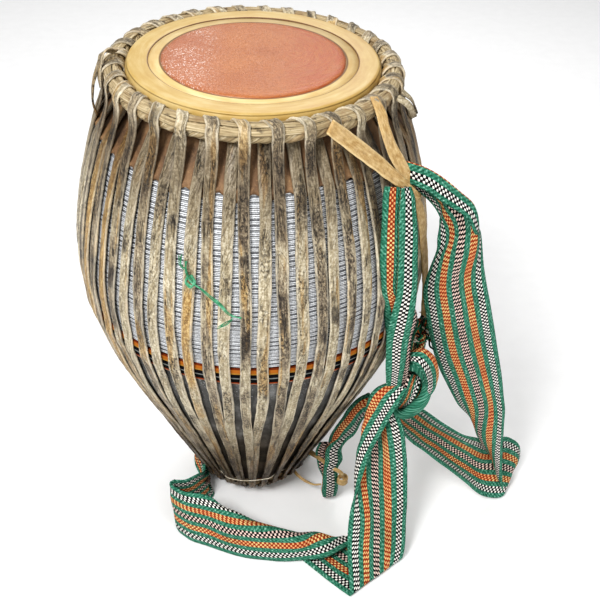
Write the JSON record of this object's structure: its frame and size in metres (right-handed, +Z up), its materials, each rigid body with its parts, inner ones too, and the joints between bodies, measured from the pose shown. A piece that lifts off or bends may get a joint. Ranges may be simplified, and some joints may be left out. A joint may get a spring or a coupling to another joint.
{
  "type": "barrel drum",
  "caption": "Two-headed laced barrel drum of unequal heads standing on its small head, with rawhide lacing over a ribbed cover, a pasted playing skin and a knotted woven carrying sling.",
  "frame": {"origin": "centre of the small head's outer face, on the drum's axis, which is the surface it stands on", "axes": "+Z up along the drum's axis towards the large head, +X towards the side the sling hangs on"},
  "size_m": [0.4828, 0.3647, 0.5046],
  "materials": {
    "clay": "unglazed fired clay",
    "head_skin": "scraped hide, satin",
    "ring_skin": "polished hide, satin",
    "tuning_paste": "dried mineral paste, fine cracks",
    "hoop_rawhide": "twisted dry rawhide",
    "lacing_rawhide": "weathered rawhide",
    "tie_rawhide": "newer rawhide",
    "silver_wrap": "ribbed silver-white wrap",
    "ribbon": "striped woven ribbon",
    "grey_cloth": "dusty grey cloth",
    "sling_weave": "woven cotton webbing with checked stripes",
    "twine": "split plastic twine"
  },
  "bodies": {
    "root": {"clay_shell": "clay", "large_head_lining_ring": "head_skin", "large_head_skin": "head_skin", "large_head_ring_skin": "ring_skin", "large_head_paste": "tuning_paste", "large_head_hoop": "hoop_rawhide", "small_head_lining_ring": "head_skin", "small_head_skin": "head_skin", "small_head_ring_skin": "ring_skin", "small_head_paste": "tuning_paste", "small_head_hoop": "hoop_rawhide", "ribbed_cover": "silver_wrap", "ribbon_band": "ribbon", "lower_cover": "grey_cloth", "lacing_loop_01": "lacing_rawhide", "lacing_loop_02": "lacing_rawhide", "lacing_loop_03": "lacing_rawhide", "lacing_loop_04": "lacing_rawhide", "lacing_loop_05": "lacing_rawhide", "lacing_loop_06": "lacing_rawhide", "lacing_loop_07": "lacing_rawhide", "lacing_loop_08": "lacing_rawhide", "lacing_loop_09": "lacing_rawhide", "lacing_loop_10": "lacing_rawhide", "lacing_loop_11": "lacing_rawhide", "lacing_loop_12": "lacing_rawhide", "lacing_loop_13": "lacing_rawhide", "lacing_loop_14": "lacing_rawhide", "lacing_loop_15": "lacing_rawhide", "lacing_loop_16": "lacing_rawhide", "lacing_loop_17": "lacing_rawhide", "lacing_loop_18": "lacing_rawhide", "lacing_loop_19": "lacing_rawhide", "lacing_loop_20": "lacing_rawhide", "lacing_loop_21": "lacing_rawhide", "lacing_loop_22": "lacing_rawhide", "lacing_loop_23": "lacing_rawhide", "lacing_loop_24": "lacing_rawhide", "lacing_loop_25": "lacing_rawhide", "lacing_loop_26": "lacing_rawhide", "lacing_loop_27": "lacing_rawhide", "lacing_loop_28": "lacing_rawhide", "lacing_loop_29": "lacing_rawhide", "lacing_loop_30": "lacing_rawhide", "lacing_loop_31": "lacing_rawhide", "lacing_loop_32": "lacing_rawhide", "upper_tie_cut_end": "tie_rawhide", "upper_tie_hanger": "tie_rawhide", "upper_tie_tail": "tie_rawhide", "lower_tie": "tie_rawhide", "sling_inner_run": "sling_weave", "sling_outer_run": "sling_weave", "sling_return_run": "sling_weave", "sling_front_run": "sling_weave", "sling_floor_run": "sling_weave", "sling_foot_run": "sling_weave", "sling_lower_run": "sling_weave", "sling_knot": "sling_weave", "green_twine": "twine"}
  },
  "joints": []
}
